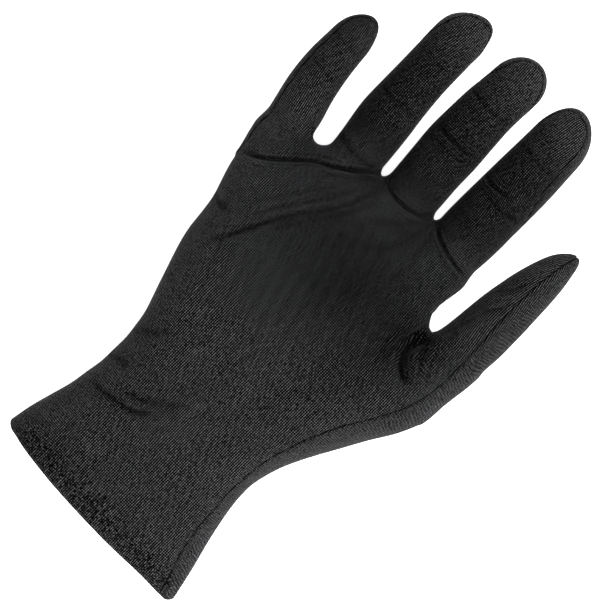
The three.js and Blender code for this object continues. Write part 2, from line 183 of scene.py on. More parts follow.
# Each fold: points along it (x, y), its depth, its half width and the height of the lips beside it
FOLDS = [
    (((-57, 50), (-50, 52.5), (-44, 56.5), (-38, 62), (-32, 67.5), (-24, 72), (-14, 78)), 1.4, 1.4, 0.4),
    (((-31, 68), (-24, 72.4), (-18, 77), (-11.5, 82)), 1.0, 1.1, 0.25),
    (((-10, 81.5), (-4, 79.2), (2, 78.6), (8, 80), (12.5, 83)), 1.1, 1.3, 0.4),
    (((15, 83.5), (22, 79), (30, 77), (38.5, 76)), 1.2, 1.2, 0.4),
    (((19, 77.5), (28, 74.5), (37, 73.5)), 0.5, 0.9, 0.2),
    (((-34, 82), (-28, 79.5), (-20, 79.5), (-14, 81)), 0.8, 1.3, 0.3),
    (((-9, 80), (-9.5, 73), (-12, 65), (-18, 55), (-25, 45), (-32, 32), (-40, 16)), 0.95, 1.4, 0.25),
    (((-6, 74), (-8, 66), (-14, 55), (-21, 45), (-27, 35)), 0.5, 1.3, 0.25),
    (((-13, 76), (-16, 66), (-23, 55), (-31, 43), (-36, 34)), 0.45, 1.2, 0.25),
    (((-17, 72), (-22, 63), (-29, 53), (-36, 43)), 0.35, 1.1, 0.2),
    (((43.2, 52), (41, 46), (40, 41), (42.5, 36.5), (47, 33.5), (51, 33)), 2.6, 2.4, 0.8),
    (((46, 47), (47.5, 42), (51, 37)), 0.8, 1.1, 0.3),
    (((49, 49), (50.5, 44), (53.5, 39)), 0.6, 1.0, 0.25),
    (((44.5, 50), (45, 45), (47.5, 40)), 0.7, 0.9, 0.25),
    (((34, 46), (33.5, 39), (35, 32)), 0.5, 1.1, 0.2),
    (((37, 45), (36.8, 38), (38.5, 31)), 0.4, 1.0, 0.2),
    (((-10.6, 110), (-4, 108.6), (4, 108.8), (11, 110.4)), 1.15, 0.95, 0.4),
    (((-9, 105.4), (0, 104.4), (9, 105.6)), 0.65, 0.8, 0.25),
    (((-10.4, 128), (-3, 126), (4, 126.4), (10.2, 128.4)), 0.65, 0.9, 0.25),
    (((16, 109), (22, 107.4), (29, 108.4)), 1.0, 0.9, 0.3),
    (((20, 103.6), (29, 102.4), (38, 104)), 0.9, 0.9, 0.3),
    (((16.5, 126), (26, 124.4), (34, 125)), 0.6, 0.9, 0.25),
    (((-35.8, 105.4), (-27, 103.6), (-17, 105)), 0.75, 1.0, 0.25),
    (((-36, 126), (-29, 124.6), (-21, 125.4)), 0.3, 0.9, 0.15),
    (((-61.5, 94.5), (-54, 92.6), (-47, 93.4)), 0.35, 0.9, 0.15),
    (((-62, 107), (-55, 105.6), (-49.5, 106.4)), 0.25, 0.9, 0.1),
    (((-52.5, 33), (-48, 31), (-42, 30.5)), 0.6, 2.2, 0.3),
    (((-34, -49), (-29, -48.6), (-23.5, -47.6), (-15, -45.6), (-8, -41)), 0.8, 1.8, 0.45),
    (((-24, -43.5), (-17, -41), (-9, -36), (-2, -31)), 0.35, 2.0, 0.25),
    (((-36, -38), (-32, -36), (-27, -36)), 0.45, 2.2, 0.3),
    (((-37, -25), (-31, -21), (-25, -15)), 0.3, 2.4, 0.2),
    (((50, 70), (55, 76), (57, 82)), 0.25, 1.6, 0.15),
    (((49.5, 80), (54, 86), (56, 92)), 0.2, 1.4, 0.1),
    (((13.5, 82), (9, 76), (3, 70), (-3, 63)), 0.5, 1.5, 0.2),
    (((14, 81), (13, 73), (10, 64), (6, 56)), 0.45, 1.7, 0.2),
    (((16, 81), (19, 72), (20, 62), (18, 54)), 0.4, 1.9, 0.2),
    (((-12, 80), (-16, 74), (-22, 69), (-28, 65)), 0.4, 1.3, 0.2),
    (((42, 50), (37, 46), (31, 42.5), (25, 40.5)), 0.55, 1.3, 0.25),
    (((41.5, 47.5), (36, 42), (31, 36.5)), 0.5, 1.2, 0.2),
    (((40.5, 44), (37, 38), (34.5, 31)), 0.4, 1.2, 0.2),
    (((51.5, 51), (52.6, 46.5), (55.5, 42)), 0.4, 0.9, 0.2),
]
FOLD_REACH = 4  # of its half width, past which a fold does nothing
LIP_PLACE, LIP_WIDTH, LIP_SHARE = 2.0, 0.8, 0.55  # the first two in half widths of the fold
FOLD_END, FOLD_END_SHARE = 0.16, 0.12  # how much of a fold's length fades out, and to what share
FOLD_SHADE_LEAST, FOLD_SHADE_GAIN, FOLD_SHADE_WIDTH = 0.3, 0.55, 0.6  # the painted shade along a fold's line, by its depth and half width
LARGE_FOLD, PLEATS_REACH = 1.0, 12.0  # the depth from which cloth pleats beside a fold, and how far
FACING = 0.45  # a surface leaning less than this from facing up is the palm's top
# Hollow of the palm: x, y, reach in x and y, depth
HOLLOW = (22, 58, 15, 18, 2.4)
# Painted shade, where the cloth is drawn with fewer glints: x, y, reach in x and y, strength
AREA_SHADE = (
    (10, 47, 36, 27, 0.72), (-37, 68, 9, 8, 0.35), (-11.5, 78, 9, 8, 0.35), (14.5, 80, 9, 8, 0.35),
    (41, 47, 9, 8, 0.35),
)
FINGER_SHADE, LITTLE_SHADE_SHARE, MOST_AREA_SHADE = 0.55, 0.4, 0.85  # the same painted shade on the fingers, the share of it on the little finger, and the most there is
CUFF_BAND = 20.0  # how far up from the cuff its own pattern is worked out

# The grid that the hand's skin is worked out on
NET_LOW, NET_HIGH = np.array((-67.0, -94.0, -2.2)), np.array((73.0, 96.0, 38.0))
FINGER_COLUMNS = 52  # from one seam of a finger to the other
CUFF_COLUMNS, CUFF_TURNS, HEM_ROWS = 191, 11, 15  # of the hem, along it and across it
CHAIN_POINTS = 8  # to each stitch
SEAM_ENDS = {"thumb": (-73.0, 50.0), "little": (-66.0, 70.0)}
OVERLOCK_SWING, OVERLOCK_LIFT, BLIND_SWING = 1.1, 0.25, 0.7  # of the sewing threads, either way

# The stage, in metres and watts: each light's name, place, width and power
MIDDLE = (0, 0.0265, 0.015)
LIGHTS = (
    ("overhead_softbox", (0.2, -0.2, 1.15), 1.2, 7),
    ("key_softbox", (0.62, -0.66, 0.6), 1.0, 15),
    ("fingertip_softbox", (0.25, 0.85, 0.4), 0.6, 10),
)
WORLD_LIGHT = 0.42
FLOOR_HALF, FLOOR_DROP, FLOOR_GLOW = 6.0, 0.0006, 0.85
CAMERA_PLACE, CAMERA_TURN, CAMERA_LENS = (0, 0.0265, 0.642), math.pi / 4, 100


# ---------------------------------------------------------------- sizes and colours

def length(name, description, default):
    return FloatProperty(name=name, description=description, default=default, unit="LENGTH")


class GloveSizes(bpy.types.PropertyGroup):
    wall: length("Jersey thickness", "Wall of the cloth", 0.0007)
    fold: length("Fold radius", "Radius that the cuff's folded edge turns round", 0.00085)
    hem: length("Hem depth", "Cloth turned in at the cuff", 0.0115)
    seam_depth: length("Seam groove", "How far the seams sink in", 0.00055)
    thread: length("Thread radius", "Of the sewing thread", 0.00022)
    stitch: length("Stitch length", "From one stitch to the next", 0.0025)
    folds: FloatProperty(
        name="Fold strength", description="Share of the folds' full depth", default=1.0, subtype="FACTOR",
    )


def srgb(code):
    """The linear colour of an sRGB hex value."""
    parts = [int(code[k:k + 2], 16) / 255 for k in (1, 3, 5)]
    return tuple(p / 12.92 if p <= 0.04045 else ((p + 0.055) / 1.055) ** 2.4 for p in parts) + (1.0,)


def colour(name, description, code):
    return FloatVectorProperty(
        name=name, description=description, size=4, subtype="COLOR", default=srgb(code),
    )


class GloveColours(bpy.types.PropertyGroup):
    cloth: colour("Cloth", "Base colour of the jersey", "#010101")
    glint: colour("Fibre glints", "Colour of the loops that catch the light", "#545455")
    thread: colour("Thread", "Colour of the sewing thread", "#1d1d1f")
    floor: colour("Floor", "Colour of the plain floor", "#fbfbfb")


def sizes():
    return bpy.context.scene.glove_sizes


def colours():
    return bpy.context.scene.glove_colours


# ---------------------------------------------------------------- shapes as numbers

def smooth_curve(at, knots):
    """A smooth curve through (place, value) knots: between two knots it is the cubic that leaves each at
    the slope between the knot's own neighbours, and outside them it stays at the end knot's value."""
    places, values = np.array(knots, float).T
    slopes = np.gradient(values, places)
    at = np.clip(at, places[0], places[-1])
    i = np.clip(np.searchsorted(places, at, side="right") - 1, 0, len(places) - 2)
    gap = places[i + 1] - places[i]
    t = (at - places[i]) / gap
    return (
        (2 * t**3 - 3 * t**2 + 1) * values[i]
        + (t**3 - 2 * t**2 + t) * gap * slopes[i]
        + (3 * t**2 - 2 * t**3) * values[i + 1]
        + (t**3 - t**2) * gap * slopes[i + 1]
    )


def ease(at, low, high):
    """0 below low, 1 above high and a smooth step between them: 3tt - 2ttt."""
    t = np.clip((at - low) / (high - low), 0, 1)
    return t * t * (3 - 2 * t)


def plateau(at, rise, fall):
    """0 outside both ends, 1 between them, with a smooth step up over rise and down over fall."""
    return ease(at, *rise) * (1 - ease(at, *fall))


def bell(at, middle, width):
    """1 at the middle, falling as e to the minus square of how many widths away a place is."""
    return np.exp(-(((at - middle) / width) ** 2))


def melt(a, b, reach):
    """The smaller of two distances, less a quarter of how deep they are in each other's reach, squared."""
    h = np.maximum(reach - np.abs(a - b), 0) / reach
    return np.minimum(a, b) - h * h * reach / 4


def unit(v):
    return v / np.maximum(np.linalg.norm(v, axis=-1, keepdims=True), 1e-12)


def run_along(points):
    """How far along its path each point is: the running sum of the steps between the points."""
    steps = np.linalg.norm(np.diff(points, axis=-2), axis=-1)
    return np.concatenate([np.zeros((*steps.shape[:-1], 1)), np.cumsum(steps, axis=-1)], axis=-1)


class Finger:
    """A finger as an oval tube round a middle line that drifts and rises from its base hinge."""

    def __init__(self, name, spec):
        self.name = name
        self.spec = spec
        joints = [JOINTS[f"{name}_{joint}_bend"] for joint in spec["joints"]]
        self.joints = joints
        axis = unit(np.array(joints[0]["axis"], float))
        self.across = unit(axis * (1, 1, 0))
        self.along = np.array((-self.across[1], self.across[0], 0))
        self.hinges = [np.array(joint["pos_m"], float) / MM for joint in joints]
        self.base = self.hinges[0] - np.cross(axis, self.along) * spec["drop"]
        self.stops = [float((hinge - self.base) @ self.along) for hinge in self.hinges]
        ends = self.stops[1:] + [spec["length"]]
        self.borders = [CUT] + [(a + b) / 2 for a, b in zip(self.stops, ends)][:-1] + [spec["length"]]

    def local(self, x, y):
        """Place across and along the finger, from its base hinge."""
        x, y = x - self.base[0], y - self.base[1]
        return x * self.across[0] + y * self.across[1], x * self.along[0] + y * self.along[1]

    def half_width(self, s):
        """Half the smooth width, times the root of 1 less the share of the rounded end that is passed."""
        past = np.clip((s - (self.spec["length"] - self.spec["tip_round"])) / self.spec["tip_round"], 0, 1)
        return smooth_curve(s, self.spec["width"]) / 2 * np.sqrt(1 - past ** self.spec["tip_power"])

    def middle(self, s):
        """The middle line's drift sideways and its rise, which grows as the square of the place."""
        rise = self.spec["rise"] * (np.maximum(s, 0) / self.spec["length"]) ** 2
        return smooth_curve(s, self.spec["drift"]), rise

    def world(self, x, s, z):
        flat = self.base + x[..., None] * self.across + s[..., None] * self.along
        return flat + z[..., None] * np.array((0, 0, 1))

    def distance(self, x, y, z):
        """About how far a point is outside the tube: its oval radius, less 1, times the half depth."""
        x, s = self.local(x, y)
        at = np.clip(s, -STUB, self.spec["length"] - self.spec["tip_round"])
        half = self.half_width(at)
        drift, lift = self.middle(at)
        deep = half * DEPTH_SHARE
        away = np.sqrt(((x - drift) / half) ** 2 + ((z - self.base[2] - lift) / deep) ** 2) - 1
        return np.maximum(away * deep, -STUB - s)


fingers = {name: Finger(name, spec) for name, spec in FINGERS.items()}


def section(stations, y):
    """The left and right edge, middle height and half depth of a body given by sections, at each y."""
    return [smooth_curve(y, stations[:, (0, k)]) for k in range(1, 5)]


def section_distance(x, y, z, stations, power):
    """About how far a point is outside a body given by sections: the power mean of its shares of the
    half width and half depth, less 1, times the smaller half."""
    left, right, mid, deep = section(stations, y)
    half = (right - left) / 2
    q = np.abs((x - (right + left) / 2) / half) ** power + np.abs((z - mid) / deep) ** power
    return (q ** (1 / power) - 1) * np.minimum(half, deep)


def skin(x, y, z):
    """About how far a point is outside the glove: hand, ball of the thumb and fingers melted together,
    and pressed flat where it rests."""
    hand = section_distance(x, y, z, HAND_STATIONS, HAND_POWER)
    hand = -melt(-hand, smooth_curve(x, WEB_LINE) - WEB_DROP * (z - 13) ** 2 - y, MELT["webs"])
    ball = section_distance(x, y, z, BALL_STATIONS, BALL_POWER)
    for way, end, reach in zip((1, -1), BALL_ENDS, MELT["ball_ends"]):
        ball = -melt(-ball, way * (y - end), reach)
    body = melt(hand, ball, MELT["ball"])
    for name, finger in fingers.items():
        away = finger.distance(x, y, z)
        away = melt(ball, away, MELT["thumb"]) if name == "thumb" else melt(hand, away, MELT["fingers"])
        body = np.minimum(body, away)
    return -melt(-body, z, MELT["rest"])


def slope(field, points, step=0.02):
    """The field's slope at each point, from its differences over a small step each way."""
    steps = step * np.eye(3)
    return np.stack([field(*(points + e).T) - field(*(points - e).T) for e in steps], axis=1) / (2 * step)


def onto(points, *fields, rounds=6):
    """Points moved down each field's slope in turn until the fields are zero there."""
    for _ in range(rounds):
        for field in fields:
            way = slope(field, points)
            size = np.maximum((way**2).sum(1), 0.04)
            points = points - (np.clip(field(*points.T), -1, 1) / size)[:, None] * way
    return points


def side_height(x, y):
    """The height of the seams at the hand's sides: it follows the middle of the hand, and beside the
    little finger it climbs onto the palm side."""
    low = 17.5 - 4.5 * ease(y, 30, 74) * (1 - ease(x, 39.5, 43.5))
    return low + 5.0 * ease(y, 40, 60) * (1 - ease(x, -44, -38))


def palm_side(x, y, z):
    """Positive on the palm panel and negative on the back panel, with the seams between them at zero."""
    return np.minimum(z - side_height(x, y), smooth_curve(y, THUMB_SEAM) - x)


def cuff_side(x, y, z):
    """Positive on the hand's side of the line where the cuff starts to turn in."""
    return y - smooth_curve(x, CUFF_LINE) - sizes().fold / MM


def finger_side(finger):
    """A field that is positive on the hand's side of a finger's first line."""
    return lambda x, y, z: CUT - finger.local(x, y)[1]


def belongs(finger, x, y, spare=0.0):
    """True where a point is within a finger's own width and reach, past its first line."""
    across, s = finger.local(x, y)
    across = across - finger.middle(np.maximum(s, 0))[0]
    half = finger.half_width(np.zeros(1))[0] + spare
    left, right = finger.spec["reach"]
    return (across > -half - left) & (across < half + right) & (s > CUT - spare)


# ---------------------------------------------------------------- folds

def rounded_line(points, steps=4):
    """A smooth line through a few points, as more points."""
    points = np.array(points, float)
    at = np.arange(len(points), dtype=float)
    fine = np.linspace(0, len(points) - 1, (len(points) - 1) * steps + 1)
    return np.stack([smooth_curve(fine, np.stack([at, points[:, k]], 1)) for k in (0, 1)], axis=1)


def way_to_line(xy, line):
    """Each point's distance to a bent line, and the nearest place along it, from 0 to 1."""
    a, b = line[:-1], line[1:]
    lengths = np.linalg.norm(b - a, axis=1)
    starts = np.concatenate(([0], np.cumsum(lengths)))
    offset = xy[:, None] - a
    t = np.clip((offset * (b - a)).sum(2) / np.maximum(lengths**2, 1e-9), 0, 1)
    away = np.linalg.norm(offset - t[..., None] * (b - a), axis=2)
    best = away.argmin(1)
    rows = np.arange(len(xy))
    return away[rows, best], (starts[best] + t[rows, best] * lengths[best]) / starts[-1]


def fold_height(points, normals):
    """How far folds and the pull of the cloth raise or press in each point, how dark it is from painted shade
    along a fold's line and over the middle of the palm, the webs and the fingers, and how far it is from the
    nearest large fold, as a share of the pleats' reach.
    A fold is a bell-shaped groove with a bell-shaped lip on each side, and fades at its ends. Sine waves
    across the palm and round the wrist stand for the cloth's tension."""
    height, dark, beside_fold = np.zeros(len(points)), np.zeros(len(points)), np.ones(len(points))
    top = ease(normals[:, 2], 0.0, FACING)
    x, y = points[:, 0], points[:, 1]
    for line, depth, width, lip in FOLDS:
        line = rounded_line(line)
        low, high = line.min(0) - FOLD_REACH * width, line.max(0) + FOLD_REACH * width
        near = (x > low[0]) & (x < high[0]) & (y > low[1]) & (y < high[1]) & (top > 0)
        if not near.any():
            continue
        away, place = way_to_line(points[near, :2], line)
        fade = FOLD_END_SHARE + (1 - FOLD_END_SHARE) * plateau(place, (0, FOLD_END), (1 - FOLD_END, 1))
        groove = -depth * bell(away, 0, width)
        lips = LIP_SHARE * lip * bell(away, LIP_PLACE * width, LIP_WIDTH * width)
        height[near] += (groove + lips) * fade * top[near]
        # Painted shade along the fold's line, darker for deeper folds
        deep = min(1, FOLD_SHADE_LEAST + FOLD_SHADE_GAIN * depth) * bell(away, 0, FOLD_SHADE_WIDTH * width)
        dark[near] = np.maximum(dark[near], deep * fade * top[near])
        if depth >= LARGE_FOLD:
            beside_fold[near] = np.minimum(beside_fold[near], away / PLEATS_REACH + 1 - fade)
    height *= sizes().folds
    at_x, at_y, wide, tall, deep = HOLLOW
    height -= deep * top * bell(x, at_x, wide) * bell(y, at_y, tall)
    palm = plateau(y, (-20, 10), (60, 76)) * plateau(x, (-52, -34), (16, 34))
    height += 0.16 * top * palm * np.sin(2 * math.pi * (x + 0.32 * y) / 5.4 + 0.8 * np.sin(y / 11))
    wrist = bell(y, -42, 22) * (1 - ease(x, 10, 30))
    height += 0.12 * wrist * np.sin(2 * math.pi * (y + 0.35 * np.abs(x)) / 13.0)
    height += 0.15 * np.sin(x / 9.0 + 1.3 * np.sin(y / 17.0)) * np.sin(y / 12.5 + 0.7)
    # Painted shade over the middle of the palm, the webs and the fingers, fading towards the fingertips and
    # weaker on the little finger
    not_little = LITTLE_SHADE_SHARE + (1 - LITTLE_SHADE_SHARE) * ease(x, -48, -40)
    painted_area_shade = FINGER_SHADE * not_little * plateau(y, (76, 92), (116, 146)) * (1 - ease(x, 40, 43))
    for at_x, at_y, wide, tall, strength in AREA_SHADE:
        painted_area_shade += strength * bell(x, at_x, wide) * bell(y, at_y, tall)
    return height, 1 - (1 - dark) * (1 - np.minimum(painted_area_shade, MOST_AREA_SHADE) * top), beside_fold


def from_cuff(points):
    """How far a point is from the cuff's folded edge, as a share of the cuff's band."""
    return np.clip((points[:, 1] - smooth_curve(points[:, 0], CUFF_LINE)) / CUFF_BAND, 0, 1)


def gathers(points):
    """How strongly the cloth is gathered into fine ripples: beside the thumb's seam, at the cuff there,
    at the thumb web and along the long fold over the palm."""
    x, y = points[:, 0], points[:, 1]
    side = plateau(x - smooth_curve(y, THUMB_SEAM), (0.5, 3.0), (9, 15))
    cuff = side * plateau(y, (-90, -84), (-64, -54))
    ball = 0.8 * side * plateau(y, (2, 18), (78, 100))
    web = bell(x, 50, 5) * bell(y, 43, 8)
    palm = 0.5 * bell(x + (60 - y) * 0.45, -16, 9) * plateau(y, (20, 40), (66, 78))
    return np.clip(cuff + ball + web + palm, 0, 1)


# ---------------------------------------------------------------- meshes

def surface_net(field, low, step):
    """The skin where a sampled field changes sign: a point in each grid cell that it crosses, at the mean
    of the crossings on the cell's edges, and a four-sided face round each crossed grid edge."""
    inside = field < 0
    size = np.array(field.shape) - 1
    total, count = np.zeros((*size, 3), np.float32), np.zeros(tuple(size), np.float32)
    unit_steps = np.eye(3, dtype=int)

    def part(corner):
        return field[tuple(slice(c, c + n) for c, n in zip(corner, size))]

    for corner in np.ndindex(2, 2, 2):
        for axis in range(3):
            if corner[axis]:
                continue
            a, b = part(corner), part(np.array(corner) + unit_steps[axis])
            crossed = (a < 0) != (b < 0)
            share = np.where(crossed, a / np.where(crossed, a - b, 1), 0)
            for k in range(3):
                total[..., k] += crossed * (corner[k] + (share if k == axis else 0))
            count += crossed
    active = count > 0
    number = np.full(active.shape, -1)
    number[active] = np.arange(active.sum())
    points = low + step * (np.argwhere(active) + total[active] / count[active][:, None])
    faces = []
    for axis in range(3):
        u, v = (axis + 1) % 3, (axis + 2) % 3
        here = inside[tuple(slice(0, n) for n in size)]
        there = inside[tuple(slice(int(k == axis), int(k == axis) + size[k]) for k in range(3))]
        at = np.argwhere(here != there)
        at = at[(at[:, u] > 0) & (at[:, v] > 0)]
        ring = (at - unit_steps[u] - unit_steps[v], at - unit_steps[v], at, at - unit_steps[u])
        quads = np.stack([number[tuple(r.T)] for r in ring], axis=1)
        outward = here[tuple(at.T)]
        faces.append(np.where(outward[:, None], quads, quads[:, ::-1]))
    return points, np.concatenate(faces)


def point_normals(points, faces):
    """Each point's normal: the sum of its faces' cross products of their diagonals."""
    a, b, c, d = (points[faces[:, k]] for k in range(4))
    crosses = np.cross(c - a, d - b)
    total = np.stack([
        np.bincount(faces.ravel(), np.repeat(crosses[:, k], 4), len(points)) for k in range(3)
    ], axis=1)
    return unit(total)


def rim_edges(faces):
    """The edges that only one face has, in that face's direction."""
    edges = np.stack([faces, np.roll(faces, -1, axis=1)], axis=2).reshape(-1, 2)
    edges = edges[edges[:, 0] != edges[:, 1]]
    _, where, uses = np.unique(np.sort(edges, axis=1), axis=0, return_index=True, return_counts=True)
    return edges[where[uses == 1]]


def make_mesh(name, points, faces, uv=None, values=None, normals=None):
    """A mesh from arrays in mm. A face whose last two corners are one point is a triangle."""
    mesh = bpy.data.meshes.new(name)
    triangle = faces[:, 2] == faces[:, 3]
    keep = np.ones(faces.shape, bool)
    keep[triangle, 3] = False
    corners = faces[keep].astype(np.int32)
    counts = np.where(triangle, 3, 4)
    mesh.vertices.add(len(points))
    mesh.vertices.foreach_set("co", (points * MM).astype(np.float32).ravel())
    mesh.loops.add(len(corners))
    mesh.loops.foreach_set("vertex_index", corners)
    mesh.polygons.add(len(faces))
    mesh.polygons.foreach_set("loop_start", np.concatenate(([0], np.cumsum(counts)[:-1])).astype(np.int32))
    mesh.polygons.foreach_set("use_smooth", np.ones(len(faces), bool))
    mesh.update(calc_edges=True)
    if uv is not None:
        layer = mesh.uv_layers.new(name="Cloth")
        layer.data.foreach_set("uv", (uv[corners] * MM).astype(np.float32).ravel())
    for key, value in (values or {}).items():
        layer = mesh.attributes.new(key, "FLOAT", "POINT")
        layer.data.foreach_set("value", value.astype(np.float32))
    if normals is not None:
        mesh.normals_split_custom_set_from_vertices(normals.astype(np.float32))
    thing = bpy.data.objects.new(name, mesh)
    bpy.context.scene.collection.objects.link(thing)
    return thing


def cloth_piece(name, cloth, faces, nodes):
    """A piece of jersey that stands for the named CAD nodes: the chosen faces of a worked-out cloth, the
    same faces a wall further in and turned round, and a rim that closes the wall."""
    used, places = np.unique(faces, return_inverse=True)
    faces = places.reshape(faces.shape)
    points, normals, uv = (cloth[key][used] for key in ("points", "normals", "uv"))
    n = len(points)
    rim = rim_edges(faces)
    closing = np.stack([rim[:, 1], rim[:, 0], rim[:, 0] + n, rim[:, 1] + n], axis=1)
    every = np.concatenate([faces, faces[:, (1, 0, 3, 2)] + n, closing])
    wall = sizes().wall / MM
    values = {key: np.tile(value[used], 2) for key, value in cloth["values"].items()}
    thing = make_mesh(
        name, np.concatenate([points, points - wall * normals]), every, np.tile(uv, (2, 1)), values,
        np.concatenate([normals, -normals]),
    )
    thing.data.materials.append(jersey())
    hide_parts(*nodes)
    return thing


# ---------------------------------------------------------------- the hand

def worked_hand():
    """The hand's whole skin, past its cuts: the net of the skin field pulled onto it, its cut lines drawn
    straight, its folds pressed in, and which panel each face belongs to."""
    x, y, z = (np.arange(a, b, STEP) for a, b in zip(NET_LOW, NET_HIGH))
    field = skin(x[:, None, None], y[None, :, None], z[None, None, :])
    points, faces = surface_net(field, NET_LOW, STEP)
    faces = faces[(faces >= 0).all(1)]
    points = onto(points, skin, rounds=3)
    for _ in range(2):
        ring = np.concatenate([faces.ravel()] * 2)
        beside = np.concatenate([np.roll(faces, 1, 1).ravel(), np.roll(faces, -1, 1).ravel()])
        count = np.bincount(ring, minlength=len(points))[:, None]
        total = np.stack([np.bincount(ring, points[beside, k], len(points)) for k in range(3)], axis=1)
        points = onto(points + 0.5 * (total / np.maximum(count, 1) - points), skin, rounds=2)
    centre = points[faces].mean(1)
    kept = cuff_side(*centre.T) > 0
    for finger in fingers.values():
        kept &= ~belongs(finger, centre[:, 0], centre[:, 1])
    uses_kept = np.bincount(faces[kept].ravel(), minlength=len(points)) > 0
    uses_rest = np.bincount(faces[~kept].ravel(), minlength=len(points)) > 0
    edge = np.flatnonzero(uses_kept & uses_rest)
    fields = [cuff_side] + [finger_side(finger) for finger in fingers.values()]
    allowed = [np.ones(len(edge), bool)] + [
        belongs(finger, *points[edge, :2].T, spare=1.2) for finger in fingers.values()
    ]
    nearest = np.argmin([
        np.where(ok, np.abs(field(*points[edge].T)), 1e6) for ok, field in zip(allowed, fields)
    ], axis=0)
    for i, line in enumerate(fields):
        at = edge[nearest == i]
        points[at] = onto(points[at], skin, line, rounds=5)
    palm = palm_side(*points[faces].mean(1).T) > 0
    uses_palm = np.bincount(faces[kept & palm].ravel(), minlength=len(points)) > 0
    uses_back = np.bincount(faces[kept & ~palm].ravel(), minlength=len(points)) > 0
    seam = uses_palm & uses_back
    on_cut = np.zeros(len(points), bool)
    on_cut[edge] = True
    inner = np.flatnonzero(seam & ~on_cut)
    points[inner] = onto(points[inner], skin, palm_side, rounds=5)
    normals = unit(slope(skin, points))
    height, fold, beside_fold = fold_height(points, normals)
    height -= seam * sizes().seam_depth / MM
    shown = points + height[:, None] * normals
    left, _, mid, deep = section(HAND_STATIONS, points[:, 1])
    over = np.where(points[:, 2] > mid, mid + deep - points[:, 2], points[:, 2] - (mid - deep))
    over = np.clip(over, 0, None) * 0.8
    x, y, _ = points.T
    beside = smooth_curve(y, THUMB_SEAM)
    u = x + over * (ease(x, beside - 3, beside + 5) - (1 - ease(x, left + 2, left + 14)))
    # fold holds the painted shade of the folds, the palm's middle, the webs and the fingers
    values = dict(
        seam=seam.astype(float), gather=gathers(points), fold=fold, beside_fold=beside_fold,
        cuff=from_cuff(points),
    )
    cloth = dict(points=shown, normals=point_normals(shown, faces), uv=np.stack([u, y], 1), values=values)
    return cloth, faces, kept & palm, kept & ~palm


class GLOVE_OT_hand(bpy.types.Operator):
    """Makes the palm and back panels, cut from one worked-out skin"""
    bl_idname = "glove.hand"
    bl_label = "Hand panels"

    def execute(self, context):
        cloth, faces, palm, back = worked_hand()
        for name, part in (("palm", palm), ("back", back)):
            thing = cloth_piece(f"{name}_jersey", cloth, faces[part], [f"{name}_panel"])
            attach(thing, "hand")
        return {"FINISHED"}


# ---------------------------------------------------------------- the fingers

def worked_finger(finger):
    """A finger's cloth on a grid of the turn round it and the place along it. A point is the middle line
    plus the half width times the turn's cosine and the half depth times its sine; near the hand it is
    pulled onto the melted skin. Columns are shared out evenly between the two seams, so that each is a
    column. Rows close in on the tip like the angles of a quarter circle, and on the rounded end each is
    also turned about the line across the finger, as the square of its angle, so that the columns meet on
    the pad side of the tip."""
    spec = finger.spec
    length, tip = spec["length"], spec["tip_round"]
    straight = np.concatenate([
        np.arange(CUT - 5 * STEP, CUT - 0.1, STEP),
        *[np.linspace(a, b, max(int((b - a) / STEP), 2), endpoint=False) for a, b in zip(
            finger.borders[:-1], [*finger.borders[1:-1], length - tip],
        ) if b > a],
    ])
    straight = np.unique(np.round(straight, 4))
    straight = straight[straight < length - tip - 0.2]
    turn = np.linspace(0, math.pi / 2, max(int(1.35 * tip / STEP), 12))
    rows = np.concatenate([straight, length - tip + tip * np.sin(turn)])
    for border in finger.borders[1:-1]:
        rows[np.abs(rows - border).argmin()] = border
    right = smooth_curve(rows, spec["right_seam"])[:, None] * DEGREE
    left = smooth_curve(rows, spec["left_seam"])[:, None] * DEGREE
    share = np.linspace(0, 1, FINGER_COLUMNS + 1)
    angles = np.concatenate([
        right + share[:-1] * (math.pi - left - right), math.pi - left + share * (math.pi + left + right),
    ], axis=1)
    climb = np.concatenate([np.zeros(len(straight)), turn])[:, None]
    lean = spec["lean"] * DEGREE * (2 * climb / math.pi) ** 2
    x = np.cos(climb) * np.cos(angles)
    y = np.sin(climb) * np.cos(lean) - np.cos(climb) * np.sin(angles) * np.sin(lean)
    z = np.sin(climb) * np.sin(lean) + np.cos(climb) * np.sin(angles) * np.cos(lean)
    size = np.maximum(np.hypot(x, z), 1e-9)
    s = np.where(climb > 0, length - tip + tip * y, rows[:, None])
    half = finger.half_width(s)
    drift, lift = finger.middle(s)
    points = finger.world(drift + half * x / size, s, lift + half * DEPTH_SHARE * z / size)
    near = s[:, 0] < BLENDED

    def past_row(x, y, z):
        return finger.local(x, y)[1] - s[near].ravel()

    points[near] = onto(points[near].reshape(-1, 3), skin, past_row).reshape(-1, angles.shape[1], 3)
    points[-1] = points[-1].mean(0)
    return rows, points


